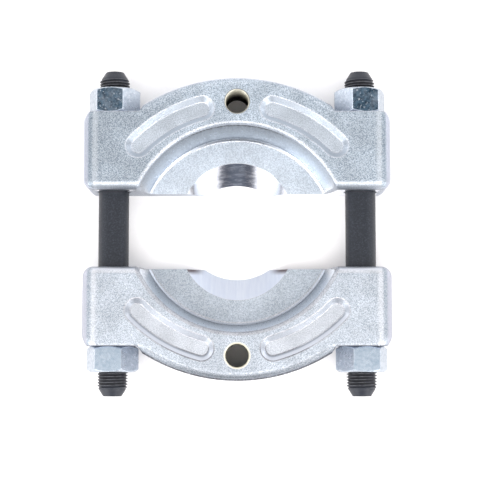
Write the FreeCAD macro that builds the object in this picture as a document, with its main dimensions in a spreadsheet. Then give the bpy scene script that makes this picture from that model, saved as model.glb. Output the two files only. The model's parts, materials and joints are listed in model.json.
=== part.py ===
import FreeCAD, Part
import math
import os

import Sketcher

# Bearing separator: two forged jaws with knife edges, drawn together by nuts on two long studs.
# Millimetres. +Z is up, out of the dished faces. X runs across the studs and Y along them.
# The origin is the middle of the opening between the jaws, on the plane of their flat backs.

SIZES = [
    ("ear_wall", 6.5, "outside a stud's hole, to the side of the ear"),
    ("jaw_thickness", 30, "from the flat back to the front face"),
    ("jaw_gap", 40, "between the two mating faces, as shown"),
    ("ear_height", 41, "from the mating face to the nut seat"),
    ("crown_height", 59, "from the mating face to the top of the crown"),
    ("crown_radius", 91, "outer arc of the crown"),
    ("mating_corner", 5.5, "corner of an ear at the mating face"),
    ("seat_corner", 9.2, "corner of a forged ear, before its seat is milled"),
    ("seat_stock", 3, "forged stock that milling takes off the nut seat"),
    ("crown_blend", 3, "hollow corner between forged ear and crown"),
    ("edge_round", 4.5, "rounding of the forged front edges"),
    ("seat_slope", 60, "slope of the wall beside the nut seat, in degrees"),
    ("seat_clearance", 0.15, "from a nut's corner circle to the wall's foot"),
    ("stud_spacing", 130, "between the stud axes"),
    ("stud_clearance", 0.5, "between a stud's shank and its hole, all round"),
    ("dish_radius", 56.5, "of the dish at the front face"),
    ("dish_floor_radius", 52, "of the dish at its floor"),
    ("dish_drop", 22.3, "from the mating face out to the dish's axis"),
    ("dish_root", 1.2, "small slope between the dish's wall and its floor"),
    ("plate_thickness", 8, "left under the dish"),
    ("bore_radius", 30, "of the slanted bore that ends in the knife edge"),
    ("bore_front_drop", 13.3, "from the mating face to its centre on the dish floor"),
    ("bore_back_drop", 24.7, "from the mating face to its centre on the back"),
    ("puller_height", 46, "from the mating face to the puller hole"),
    ("puller_bore", 11.8, "inside diameter of its thread"),
    ("puller_mouth", 14, "diameter of its chamfer"),
    ("pocket_radius", 71.7, "middle of the kidney shaped pocket"),
    ("pocket_drop", 27, "from the mating face to the centre of that arc"),
    ("pocket_near_angle", 14.8, "from the jaw's middle to the pocket's near end"),
    ("pocket_far_angle", 45.9, "from the jaw's middle to its far end"),
    ("pocket_width", 13, "across the pocket at the front face"),
    ("pocket_floor_width", 7.4, "across its floor"),
    ("pocket_depth", 3, "of the pocket"),
    ("stud_length", 171, "over both tips"),
    ("stud_shift", 1.5, "how far the studs sit towards the lower jaw"),
    ("stud_shank", 72, "smooth length in the middle of a stud"),
    ("stud_diameter", 16, "of the shank"),
    ("thread_diameter", 15, "mean diameter of the threaded ends"),
    ("thread_run_in", 0.6, "short cone between shank and thread"),
    ("tip_length", 5, "of a stud's conical tip"),
    ("tip_diameter", 9.6, "of the flat on the tip"),
    ("nut_flats", 24, "across the flats"),
    ("nut_height", 13.5, "of a nut"),
    ("nut_clearance", 0.05, "between a nut's bore and its thread, all round"),
    ("nut_bearing", 24.6, "diameter of the circle where the corner chamfers start"),
    ("nut_crown_slope", 30, "slope of the corner chamfer, in degrees"),
    ("upper_left_turn", -8, "turn of each nut about its stud, in degrees"),
    ("upper_right_turn", 11, ""),
    ("lower_left_turn", -7, ""),
    ("lower_right_turn", 9, ""),
]

OVERRUN = 1


class Size:
    """A length or angle with its number now and the sheet expression that gives it."""

    def __init__(self, number, text=None):
        self.number = number
        self.text = text or repr(number)

    def _join(self, sign, other, number):
        other = as_size(other)
        return Size(number, f"({self.text} {sign} {other.text})")

    def __add__(self, other):
        return self._join("+", other, self.number + as_size(other).number)

    def __sub__(self, other):
        return self._join("-", other, self.number - as_size(other).number)

    def __mul__(self, other):
        return self._join("*", other, self.number * as_size(other).number)

    def __truediv__(self, other):
        return self._join("/", other, self.number / as_size(other).number)

    def __neg__(self):
        return Size(-self.number, f"(0 - {self.text})")


def as_size(value):
    return value if isinstance(value, Size) else Size(value)


def sine(angle):
    return Size(math.sin(math.radians(angle.number)), f"sin({angle.text})")


def cosine(angle):
    return Size(math.cos(math.radians(angle.number)), f"cos({angle.text})")


def tangent(angle):
    return Size(math.tan(math.radians(angle.number)), f"tan({angle.text})")


# The sheet


def add_sheet(doc):
    """Write every driving size into a sheet and return the sizes by name."""
    sheet = doc.addObject("Spreadsheet::Sheet", "sizes")
    sizes = {}
    for row, (name, number, meaning) in enumerate(SIZES, start=1):
        sheet.set(f"A{row}", name)
        sheet.set(f"B{row}", str(number))
        sheet.set(f"C{row}", meaning)
        sheet.setAlias(f"B{row}", name)
        sizes[name] = Size(number, f"sizes.{name}")
    doc.recompute()
    return sizes


# Sketch helpers


def origin_feature(body, role):
    return next(f for f in body.Origin.OriginFeatures if f.Role == role)


def add_sketch(body, name, role, height=None):
    """A sketch on one of the body's own origin planes, or at a height above it."""
    sketch = body.newObject("Sketcher::SketchObject", name)
    sketch.AttachmentSupport = [(origin_feature(body, role), "")]
    sketch.MapMode = "FlatFace"
    if height is not None:
        sketch.setExpression(".AttachmentOffset.Base.z", as_size(height).text)
    return sketch


def pin(sketch, curve, point, x, y):
    """Hold one point of a curve at x and y from the sketch's origin, None leaving it free."""
    for kind, axis, size in (("DistanceX", -2, x), ("DistanceY", -1, y)):
        if size is None:
            continue
        size = as_size(size)
        if size.number == 0:
            sketch.addConstraint(Sketcher.Constraint("PointOnObject", curve, point, axis))
        elif size.number > 0:
            rule = Sketcher.Constraint(kind, -1, 1, curve, point, size.number)
            sketch.setExpression(f"Constraints[{sketch.addConstraint(rule)}]", size.text)
        else:
            rule = Sketcher.Constraint(kind, curve, point, -1, 1, -size.number)
            sketch.setExpression(f"Constraints[{sketch.addConstraint(rule)}]", (-size).text)


def vector(x, y):
    return FreeCAD.Vector(as_size(x).number, as_size(y).number, 0)


def draw_polygon(sketch, points):
    """A closed chain of lines through the given points."""
    first = sketch.GeometryCount
    count = len(points)
    for i in range(count):
        line = Part.LineSegment(vector(*points[i]), vector(*points[(i + 1) % count]))
        sketch.addGeometry(line, False)
    for i in range(count):
        after = first + (i + 1) % count
        sketch.addConstraint(Sketcher.Constraint("Coincident", first + i, 2, after, 1))
    for i, (x, y) in enumerate(points):
        pin(sketch, first + i, 1, x, y)


def draw_circle(sketch, x, y, radius):
    radius = as_size(radius)
    normal = FreeCAD.Vector(0, 0, 1)
    curve = sketch.addGeometry(Part.Circle(vector(x, y), normal, radius.number), False)
    pin(sketch, curve, 3, x, y)
    rule = Sketcher.Constraint("Radius", curve, radius.number)
    sketch.setExpression(f"Constraints[{sketch.addConstraint(rule)}]", radius.text)


def add_arc(sketch, x, y, radius, low, high):
    """An arc about x and y, counter-clockwise between two angles in degrees."""
    circle = Part.Circle(vector(x, y), FreeCAD.Vector(0, 0, 1), as_size(radius).number)
    arc = Part.ArcOfCircle(circle, math.radians(low), math.radians(high))
    return sketch.addGeometry(arc, False)


# Feature helpers


def volume_must(shrink, feature, before):
    doc = feature.Document
    doc.recompute()
    after = feature.Shape.Volume
    if (after < before - 1e-6) != shrink:
        raise RuntimeError(f"{feature.Label} changes the volume from {before} to {after}")


def add_pad(body, name, sketch, length):
    pad = body.newObject("PartDesign::Pad", name)
    pad.Profile = sketch
    pad.setExpression("Length", as_size(length).text)
    body.Document.recompute()
    return pad


def add_pocket(body, name, sketch, length, forward):
    """Cut a sketch's profile to a length, forward being along the sketch's own normal."""
    before = body.Shape.Volume
    pocket = body.newObject("PartDesign::Pocket", name)
    pocket.Profile = sketch
    pocket.Reversed = forward
    pocket.setExpression("Length", as_size(length).text)
    volume_must(True, pocket, before)
    return pocket


def add_mirror(body, name, features):
    """Repeat features on the other side of the jaw's middle plane."""
    before = body.Shape.Volume
    mirror = body.newObject("PartDesign::Mirrored", name)
    mirror.Originals = features
    mirror.MirrorPlane = (origin_feature(body, "YZ_Plane"), [""])
    body.Tip = mirror
    volume_must(True, mirror, before)
    return mirror


def edges_where(shape, test):
    """The names of the edges whose middle and bounding box pass a test."""
    names = []
    for i, edge in enumerate(shape.Edges, start=1):
        middle = edge.valueAt((edge.FirstParameter + edge.LastParameter) / 2)
        if test(edge, middle, edge.BoundBox):
            names.append(f"Edge{i}")
    return names


def dress(body, kind, name, size_name, size, test, least):
    """A fillet or chamfer on the edges that pass a test, which must be as many as stated or more."""
    base = body.Tip
    names = edges_where(base.Shape, test)
    if len(names) < least:
        raise RuntimeError(f"{name} finds {len(names)} edges, not {least}")
    feature = body.newObject(f"PartDesign::{kind}", name)
    feature.Base = (base, names)
    feature.setExpression(size_name, as_size(size).text)
    body.Document.recompute()
    return feature


def fillet(body, name, radius, test, least):
    return dress(body, "Fillet", name, "Radius", radius, test, least)


def chamfer(body, name, size, test, least):
    return dress(body, "Chamfer", name, "Size", size, test, least)


def near(a, b, room=1e-4):
    return abs(a - as_size(b).number) < room


def upright_at(x, y):
    """A test for the upright edges at x either side of the middle, and at y."""

    def test(edge, middle, box):
        return near(abs(middle.x), x, 0.01) and near(middle.y, y, 0.01) and box.ZLength > 1

    return test


def ring_at(radius, axis, level):
    """A test for whole or part circles of a radius that lie flat at a level on an axis."""

    def test(edge, middle, box):
        low, high = getattr(box, f"{axis}Min"), getattr(box, f"{axis}Max")
        round_edge = hasattr(edge.Curve, "Radius") and near(edge.Curve.Radius, radius)
        return round_edge and near(low, level) and near(high, level)

    return test


# The jaws


def hole_radius(s):
    return s["stud_diameter"] / 2 + s["stud_clearance"]


def half_width(s):
    return s["stud_spacing"] / 2 + hole_radius(s) + s["ear_wall"]


def forge_blank(body, s):
    """The forging: flat back, rounded front edges, ears with stock for the nut seats."""
    half = half_width(s)
    top = s["ear_height"] + s["seat_stock"]
    centre_drop = s["crown_radius"] - s["crown_height"]
    reach = math.sqrt(s["crown_radius"].number ** 2 - (top + centre_drop).number ** 2)
    outline = add_sketch(body, f"{body.Label}_outline", "XY_Plane")
    points = [(-half, 0), (half, 0), (half, top), (reach, top), (-reach, top), (-half, top)]
    for i in (0, 1, 2, 4, 5):
        ends = vector(*points[i]), vector(*points[(i + 1) % 6])
        outline.addGeometry(Part.LineSegment(*ends), False)
    tilt = math.degrees(math.acos(reach / s["crown_radius"].number))
    crown = add_arc(outline, 0, -centre_drop, s["crown_radius"], tilt, 180 - tilt)
    joints = [(0, 2, 1, 1), (1, 2, 2, 1), (2, 2, crown, 1), (crown, 2, 3, 1), (3, 2, 4, 1), (4, 2, 0, 1)]
    for joint in joints:
        outline.addConstraint(Sketcher.Constraint("Coincident", *joint))
    pin(outline, 0, 1, -half, 0)
    pin(outline, 0, 2, half, 0)
    pin(outline, 1, 2, half, top)
    pin(outline, 4, 1, -half, top)
    outline.addConstraint(Sketcher.Constraint("Horizontal", 2))
    outline.addConstraint(Sketcher.Constraint("Horizontal", 3))
    pin(outline, crown, 3, 0, -centre_drop)
    rule = Sketcher.Constraint("Radius", crown, s["crown_radius"].number)
    number = outline.addConstraint(rule)
    outline.setExpression(f"Constraints[{number}]", s["crown_radius"].text)
    add_pad(body, f"{body.Label}_blank", outline, s["jaw_thickness"])

    label = body.Label
    fillet(body, f"{label}_mating_corners", s["mating_corner"], upright_at(half, 0), 2)
    fillet(body, f"{label}_seat_corners", s["seat_corner"], upright_at(half, top), 2)
    fillet(body, f"{label}_crown_blends", s["crown_blend"], upright_at(reach, top), 2)

    def front_edge(edge, middle, box):
        return near(box.ZMin, s["jaw_thickness"]) and near(box.ZMax, s["jaw_thickness"])

    fillet(body, f"{label}_front_edges", s["edge_round"], front_edge, 12)


def mill_seats(body, s):
    """A flat nut seat on each ear, with a sloping wall that clears the turning nut."""
    seat = s["ear_height"]
    corner_circle = s["nut_flats"] / 2 / cosine(Size(30))
    foot = s["stud_spacing"] / 2 - corner_circle - s["seat_clearance"]
    rise = s["crown_height"] - seat
    lean = rise / tangent(s["seat_slope"])
    outer = half_width(s) + OVERRUN
    sketch = add_sketch(body, f"{body.Label}_seat_profile", "XY_Plane")
    draw_polygon(sketch, [(foot, seat), (outer, seat), (outer, seat + rise), (foot - lean, seat + rise)])
    cut = add_pocket(body, f"{body.Label}_seat", sketch, s["jaw_thickness"], True)
    add_mirror(body, f"{body.Label}_seats", [cut])


def sink_dish(body, s):
    """The round dish that takes the bearing, with a conical wall and a rounded root."""
    front = s["jaw_thickness"]
    floor = s["plate_thickness"]
    axis_y = -s["dish_drop"]
    flare = (s["dish_radius"] - s["dish_floor_radius"]) / (front - floor)
    over = s["dish_radius"] + flare * OVERRUN
    sketch = add_sketch(body, f"{body.Label}_dish_profile", "YZ_Plane")
    points = [
        (axis_y, floor),
        (axis_y + s["dish_floor_radius"], floor),
        (axis_y + over, front + OVERRUN),
        (axis_y, front + OVERRUN),
    ]
    draw_polygon(sketch, points)
    ends = vector(*points[0]), vector(*points[3])
    line = sketch.addGeometry(Part.LineSegment(*ends), True)
    pin(sketch, line, 1, *points[0])
    pin(sketch, line, 2, *points[3])
    before = body.Shape.Volume
    dish = body.newObject("PartDesign::Groove", f"{body.Label}_dish")
    dish.Profile = sketch
    dish.ReferenceAxis = (sketch, ["Axis0"])
    dish.Angle = 360
    volume_must(True, dish, before)
    label = body.Label
    chamfer(body, f"{label}_dish_root", s["dish_root"], ring_at(s["dish_floor_radius"], "Z", floor), 1)


def cut_bore(body, s):
    """The slanted round bore through the plate, which leaves a knife edge at the back."""
    lean = (s["bore_back_drop"] - s["bore_front_drop"]) / s["plate_thickness"]
    sketch = add_sketch(body, f"{body.Label}_bore_circle", "XY_Plane", -as_size(OVERRUN))
    draw_circle(sketch, 0, -(s["bore_back_drop"] + lean * OVERRUN), s["bore_radius"])
    before = body.Shape.Volume
    bore = body.newObject("PartDesign::Pocket", f"{body.Label}_bore")
    bore.Profile = sketch
    bore.UseCustomVector = True
    bore.AlongSketchNormal = True
    bore.Direction = FreeCAD.Vector(0, lean.number, 1)
    bore.setExpression("Direction.y", lean.text)
    bore.setExpression("Length", (s["plate_thickness"] + 2 * OVERRUN).text)
    volume_must(True, bore, before)


def drill_stud_holes(body, s):
    """A clearance hole along each ear."""
    sketch = add_sketch(body, f"{body.Label}_stud_hole_circle", "XZ_Plane")
    draw_circle(sketch, s["stud_spacing"] / 2, s["jaw_thickness"] / 2, hole_radius(s))
    hole = add_pocket(body, f"{body.Label}_stud_hole", sketch, s["ear_height"], False)
    add_mirror(body, f"{body.Label}_stud_holes", [hole])


def drill_puller_hole(body, s):
    """The threaded hole for a puller's bolt, through the crown and chamfered at both faces."""
    radius = s["puller_bore"] / 2
    sketch = add_sketch(body, f"{body.Label}_puller_circle", "XY_Plane")
    draw_circle(sketch, 0, s["puller_height"], radius)
    add_pocket(body, f"{body.Label}_puller_hole", sketch, s["jaw_thickness"], True)

    def mouths(edge, middle, box):
        at_back = ring_at(radius, "Z", 0)
        at_front = ring_at(radius, "Z", s["jaw_thickness"])
        return at_back(edge, middle, box) or at_front(edge, middle, box)

    size = (s["puller_mouth"] - s["puller_bore"]) / 2
    chamfer(body, f"{body.Label}_puller_mouths", size, mouths, 2)


def draw_kidney(sketch, s, width):
    """A slot bent round an arc, with round ends."""
    half = width / 2
    middle = -s["pocket_drop"]
    near_end, far_end = s["pocket_near_angle"], s["pocket_far_angle"]
    low, high = 90 - far_end.number, 90 - near_end.number
    sides = []
    for radius in (s["pocket_radius"] + half, s["pocket_radius"] - half):
        side = add_arc(sketch, 0, middle, radius, low, high)
        pin(sketch, side, 3, 0, middle)
        pin(sketch, side, 1, radius * sine(far_end), radius * cosine(far_end) + middle)
        pin(sketch, side, 2, radius * sine(near_end), None)
        sides.append(side)
    for angle, point, start in ((near_end, 2, high), (far_end, 1, low + 180)):
        x, y = s["pocket_radius"] * sine(angle), s["pocket_radius"] * cosine(angle) + middle
        cap = add_arc(sketch, x, y, half, start, start + 180)
        first, last = (sides[0], sides[1]) if point == 2 else (sides[1], sides[0])
        sketch.addConstraint(Sketcher.Constraint("Coincident", first, point, cap, 1))
        sketch.addConstraint(Sketcher.Constraint("Coincident", cap, 2, last, point))
        pin(sketch, cap, 3, x, None)


def sink_pockets(body, s):
    """Two kidney shaped pockets with sloping walls, sunk in the front face either side."""
    slope = (s["pocket_width"] - s["pocket_floor_width"]) / s["pocket_depth"]
    floor_level = s["jaw_thickness"] - s["pocket_depth"]
    floor = add_sketch(body, f"{body.Label}_pocket_floor", "XY_Plane", floor_level)
    draw_kidney(floor, s, s["pocket_floor_width"])
    mouth = add_sketch(body, f"{body.Label}_pocket_mouth", "XY_Plane", s["jaw_thickness"] + OVERRUN)
    draw_kidney(mouth, s, s["pocket_width"] + slope * OVERRUN)
    before = body.Shape.Volume
    pocket = body.newObject("PartDesign::SubtractiveLoft", f"{body.Label}_pocket")
    pocket.Profile = floor
    pocket.Sections = [mouth]
    pocket.Ruled = True
    volume_must(True, pocket, before)
    add_mirror(body, f"{body.Label}_pockets", [pocket])


def make_jaw(doc, label, s, side):
    """One jaw, made with its mating face on Y = 0 and then set at its side of the gap."""
    body = doc.addObject("PartDesign::Body", label)
    body.Label = label
    forge_blank(body, s)
    mill_seats(body, s)
    sink_dish(body, s)
    cut_bore(body, s)
    drill_stud_holes(body, s)
    drill_puller_hole(body, s)
    sink_pockets(body, s)
    turn = FreeCAD.Rotation(FreeCAD.Vector(0, 0, 1), 0 if side > 0 else 180)
    body.Placement = FreeCAD.Placement(FreeCAD.Vector(0, 0, 0), turn)
    body.setExpression(".Placement.Base.y", (s["jaw_gap"] / 2 * side).text)
    return body


# The studs


def make_stud(doc, label, s, side):
    """A stud turned about its own axis: smooth shank, threaded ends and conical tips."""
    body = doc.addObject("PartDesign::Body", label)
    body.Label = label
    end = s["stud_length"] / 2
    shoulder = s["stud_shank"] / 2
    shank = s["stud_diameter"] / 2
    thread = s["thread_diameter"] / 2
    tip = s["tip_diameter"] / 2
    half = [
        (shank, shoulder),
        (thread, shoulder + s["thread_run_in"]),
        (thread, end - s["tip_length"]),
        (tip, end),
        (0, end),
    ]
    other_half = [(x, -y) for x, y in reversed(half)]
    profile = add_sketch(body, f"{label}_profile", "XY_Plane")
    draw_polygon(profile, half + other_half)
    turned = body.newObject("PartDesign::Revolution", f"{label}_turned")
    turned.Profile = profile
    turned.ReferenceAxis = (profile, ["V_Axis"])
    turned.Angle = 360
    body.setExpression(".Placement.Base.x", (s["stud_spacing"] / 2 * side).text)
    body.setExpression(".Placement.Base.y", (-s["stud_shift"]).text)
    body.setExpression(".Placement.Base.z", (s["jaw_thickness"] / 2).text)
    doc.recompute()
    return body


# The nuts


def crown_nut(body, s, corner_circle):
    """Chamfer the outer face's corners, outside a circle a little wider than the flats."""
    ring = s["nut_bearing"] / 2
    past = corner_circle + OVERRUN
    drop = (past - ring) * tangent(s["nut_crown_slope"])
    top = s["nut_height"]
    sketch = add_sketch(body, f"{body.Label}_crown_profile", "XZ_Plane")
    draw_polygon(sketch, [(ring, top), (ring, top + OVERRUN), (past, top + OVERRUN), (past, top - drop)])
    before = body.Shape.Volume
    crown = body.newObject("PartDesign::Groove", f"{body.Label}_crown")
    crown.Profile = sketch
    crown.ReferenceAxis = (sketch, ["V_Axis"])
    crown.Angle = 360
    volume_must(True, crown, before)


def make_nut(doc, label, s, side, end, turn):
    """A hexagon nut, made standing on its seat and then laid on its stud and turned."""
    body = doc.addObject("PartDesign::Body", label)
    body.Label = label
    flat = s["nut_flats"] / 2
    corner = flat / cosine(Size(30))
    hexagon = add_sketch(body, f"{label}_hexagon", "XY_Plane")
    upper = [(corner, 0), (corner / 2, flat), (-(corner / 2), flat)]
    draw_polygon(hexagon, upper + [(-x, -as_size(y)) if y else (-x, 0) for x, y in upper])
    add_pad(body, f"{label}_block", hexagon, s["nut_height"])
    crown_nut(body, s, corner)
    circle = add_sketch(body, f"{label}_bore_circle", "XY_Plane")
    draw_circle(circle, 0, 0, s["thread_diameter"] / 2 + s["nut_clearance"])
    add_pocket(body, f"{label}_bore", circle, s["nut_height"], True)
    spin = FreeCAD.Rotation(FreeCAD.Vector(0, 1, 0), turn.number)
    lay_down = FreeCAD.Rotation(FreeCAD.Vector(1, 0, 0), -90 * end)
    body.Placement = FreeCAD.Placement(FreeCAD.Vector(0, 0, 0), spin.multiply(lay_down))
    body.setExpression(".Placement.Base.x", (s["stud_spacing"] / 2 * side).text)
    body.setExpression(".Placement.Base.y", ((s["jaw_gap"] / 2 + s["ear_height"]) * end).text)
    body.setExpression(".Placement.Base.z", (s["jaw_thickness"] / 2).text)
    return body


# The whole separator


def check_document(doc, bodies):
    for item in doc.Objects:
        if "Invalid" in item.State or "Error" in item.State:
            raise RuntimeError(f"{item.Label} did not compute: {item.State}")
    for body in bodies:
        if body.Shape.isNull() or not body.Shape.isValid() or len(body.Shape.Solids) != 1:
            raise RuntimeError(f"{body.Label} is not one sound solid")


def main():
    doc = FreeCAD.newDocument("bearing_separator")
    s = add_sheet(doc)
    bodies = [make_jaw(doc, "upper_jaw", s, 1), make_jaw(doc, "lower_jaw", s, -1)]
    bodies += [make_stud(doc, "left_stud", s, -1), make_stud(doc, "right_stud", s, 1)]
    for end_name, end in (("upper", 1), ("lower", -1)):
        for side_name, side in (("left", -1), ("right", 1)):
            place = f"{end_name}_{side_name}"
            bodies.append(make_nut(doc, f"{place}_nut", s, side, end, s[f"{place}_turn"]))
    doc.recompute()
    check_document(doc, bodies)
    os.makedirs("parts", exist_ok=True)
    for body in bodies:
        body.Shape.exportStep(f"parts/{body.Label}.step")
        box = body.Shape.BoundBox
        print(body.Label, round(body.Shape.Volume), box)


main()
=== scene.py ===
"""Bearing separator: two dished, forged jaws with knife edges, held on two threaded studs by four nuts."""

import json
import logging
import math
from dataclasses import dataclass, field
from enum import Enum

import bmesh
import bpy
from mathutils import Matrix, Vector

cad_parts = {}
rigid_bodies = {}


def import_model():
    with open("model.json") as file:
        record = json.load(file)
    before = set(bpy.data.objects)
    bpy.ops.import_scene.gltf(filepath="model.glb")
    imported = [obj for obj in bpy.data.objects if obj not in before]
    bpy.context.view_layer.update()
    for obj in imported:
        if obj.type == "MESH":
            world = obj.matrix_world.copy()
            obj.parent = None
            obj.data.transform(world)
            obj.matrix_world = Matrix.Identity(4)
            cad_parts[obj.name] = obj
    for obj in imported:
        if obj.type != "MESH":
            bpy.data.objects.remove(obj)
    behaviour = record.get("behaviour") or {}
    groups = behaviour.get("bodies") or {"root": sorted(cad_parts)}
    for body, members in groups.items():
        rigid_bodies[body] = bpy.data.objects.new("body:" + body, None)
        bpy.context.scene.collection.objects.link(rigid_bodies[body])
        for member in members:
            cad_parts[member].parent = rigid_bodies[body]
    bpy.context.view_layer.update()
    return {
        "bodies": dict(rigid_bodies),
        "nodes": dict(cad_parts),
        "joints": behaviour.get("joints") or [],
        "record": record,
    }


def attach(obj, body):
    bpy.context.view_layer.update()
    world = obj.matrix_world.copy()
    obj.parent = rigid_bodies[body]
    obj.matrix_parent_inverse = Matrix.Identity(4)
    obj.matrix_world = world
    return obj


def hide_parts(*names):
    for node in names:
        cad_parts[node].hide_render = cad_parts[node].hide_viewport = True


LOG = logging.getLogger("bearing_separator")
MM = 0.001
Colour = tuple[float, float, float]
Point = tuple[float, float, float]
Tones = tuple[float, float, float, float]
Span = tuple[float, float]
Band = tuple[float, float, float, float]
Socket = bpy.types.NodeSocket

OPENING_BLEND = 12 * MM  # how far from the opening's middle one jaw's tone still mixes with the other's
SIDE_BLEND = 10 * MM  # the same from left to right
MIDDLE_BLEND = (14 * MM, 58 * MM)  # where a jaw's middle tone goes over into its sides'
PROFILE = (0.0, 0.3125, 0.4375, 0.75)  # where a thread's root, crest, crest and root lie in its pitch
LEAD_IN = 2.2  # how many turns before its low end a thread is started, so that it is whole there
SEAM = 1e-5  # keeps a grid's first column off the boundary between two flats, in radians
WELD = 2e-6  # metres within which two points become one
SHARP = 75.0  # degrees from which an edge of a rounded piece is still shaded as a hard one
MID_NOISE = (0.3, 0.7)  # a noise from its low patches to its high ones

STUD_X = 65 * MM  # a stud's axis, to the left or right of the middle
STUD_Z = 15 * MM  # the same axis above the flat backs
STUD_MIDDLE = -1.5 * MM  # the studs' middle along Y
STUD_LENGTH = 171 * MM
STUD_CREST = 7.9 * MM  # the thread's outer radius
STUD_ROOT = 7.0 * MM  # the thread's inner radius
SEAT_Y = 61 * MM  # the jaws' faces that the nuts seat on, off the opening's middle
PULLER_Y = 66 * MM  # the puller holes' axes, off the opening's middle


class End(Enum):
    """Which jaw a piece belongs to; the value is the sign of its Y."""

    UPPER = 1
    LOWER = -1

    @property
    def word(self) -> str:
        """The word that names the end in a node's name."""
        return self.name.lower()


class Side(Enum):
    """Which stud a piece belongs to; the value is the sign of its X."""

    LEFT = -1
    RIGHT = 1

    @property
    def word(self) -> str:
        """The word that names the side in a node's name."""
        return self.name.lower()


class Surface(Enum):
    """How a region of a jaw was left by the maker; the value is its material slot's place."""

    FORGED = 0
    MACHINED = 1
    DISHED = 2
    COINED = 3
    EASED = 4
    SUNK = 5


class Graph:
    """Short calls that add, set and join the nodes of one tree."""

    def __init__(self, tree: bpy.types.NodeTree) -> None:
        """Take the tree that the nodes go into.

        Args:
            tree: a material's or a geometry group's node tree.
        """
        self.tree = tree

    def feed(self, socket: Socket, value: object) -> None:
        """Link a socket to another, or set its value.

        Args:
            socket: the input to fill.
            value: an output socket, or a plain value.
        """
        if isinstance(value, Socket):
            self.tree.links.new(value, socket)
        elif socket.type == "RGBA" and len(value) == 3:
            socket.default_value = (*value, 1.0)
        else:
            socket.default_value = value

    def add(self, kind: str, feeds: dict | None = None, **settings: object) -> bpy.types.Node:
        """Add one node.

        Args:
            kind: the node's type name.
            feeds: values or sockets by input name or number.
            settings: the node's own properties.

        Returns:
            The new node.
        """
        node = self.tree.nodes.new(kind)
        for name, value in settings.items():
            setattr(node, name, value)
        for key, value in (feeds or {}).items():
            self.feed(node.inputs[key], value)
        return node

    def math(self, operation: str, *values: object) -> Socket:
        """Add a Math node and return its result."""
        return self.add("ShaderNodeMath", dict(enumerate(values)), operation=operation).outputs[0]

    def times(self, first: object, second: object) -> Socket:
        """Multiply two values."""
        return self.math("MULTIPLY", first, second)

    def plus(self, first: object, second: object) -> Socket:
        """Add two values."""
        return self.math("ADD", first, second)

    def minus(self, first: object, second: object) -> Socket:
        """Take the second value from the first."""
        return self.math("SUBTRACT", first, second)

    def length(self, first: object, second: object) -> Socket:
        """Return the length of a vector with two parts."""
        return self.math("SQRT", self.plus(self.times(first, first), self.times(second, second)))

    def ramp(
        self, factor: object, low: object, high: object, to_low: object = 0.0, to_high: object = 1.0,
    ) -> Socket:
        """Map a range smoothly on another one, clamped.

        Args:
            factor: the value to map.
            low: where its range starts.
            high: where its range ends.
            to_low: the result up to the start.
            to_high: the result from the end on.

        Returns:
            The result.
        """
        feeds = {"Value": factor, "From Min": low, "From Max": high, "To Min": to_low, "To Max": to_high}
        return self.add("ShaderNodeMapRange", feeds, interpolation_type="SMOOTHSTEP").outputs["Result"]

    def mix(self, factor: object, first: object, second: object, blend: str = "MIX") -> Socket:
        """Mix two colours.

        Args:
            factor: the second one's share.
            first: the first colour.
            second: the second colour.
            blend: how the second is laid on the first.

        Returns:
            The mixed colour.
        """
        node = self.add("ShaderNodeMix", data_type="RGBA", blend_type=blend)
        self.feed(node.inputs[0], factor)
        self.feed(node.inputs[6], first)
        self.feed(node.inputs[7], second)
        return node.outputs[2]

    def strip(self, value: object, band: Band, strength: float = 1.0) -> Socket:
        """Rise from 0 over a band's first two bounds and fall back over its last two.

        Args:
            value: the value that crosses the band.
            band: the four bounds.
            strength: the result between the middle two.

        Returns:
            The result.
        """
        start, full, wane, end = band
        return self.times(self.ramp(value, start, full), self.ramp(value, wane, end, strength, 0.0))

    def noise(self, place: object, size: float, detail: float = 3.0, roughness: float = 0.6) -> Socket:
        """Add noise.

        Args:
            place: the coordinates it is read at.
            size: the size of its features in metres.
            detail: how many finer layers it has.
            roughness: how strong these are.

        Returns:
            Its factor.
        """
        feeds = {"Vector": place, "Scale": 1.0 / size, "Detail": detail, "Roughness": roughness}
        return self.add("ShaderNodeTexNoise", feeds).outputs["Fac"]


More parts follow.
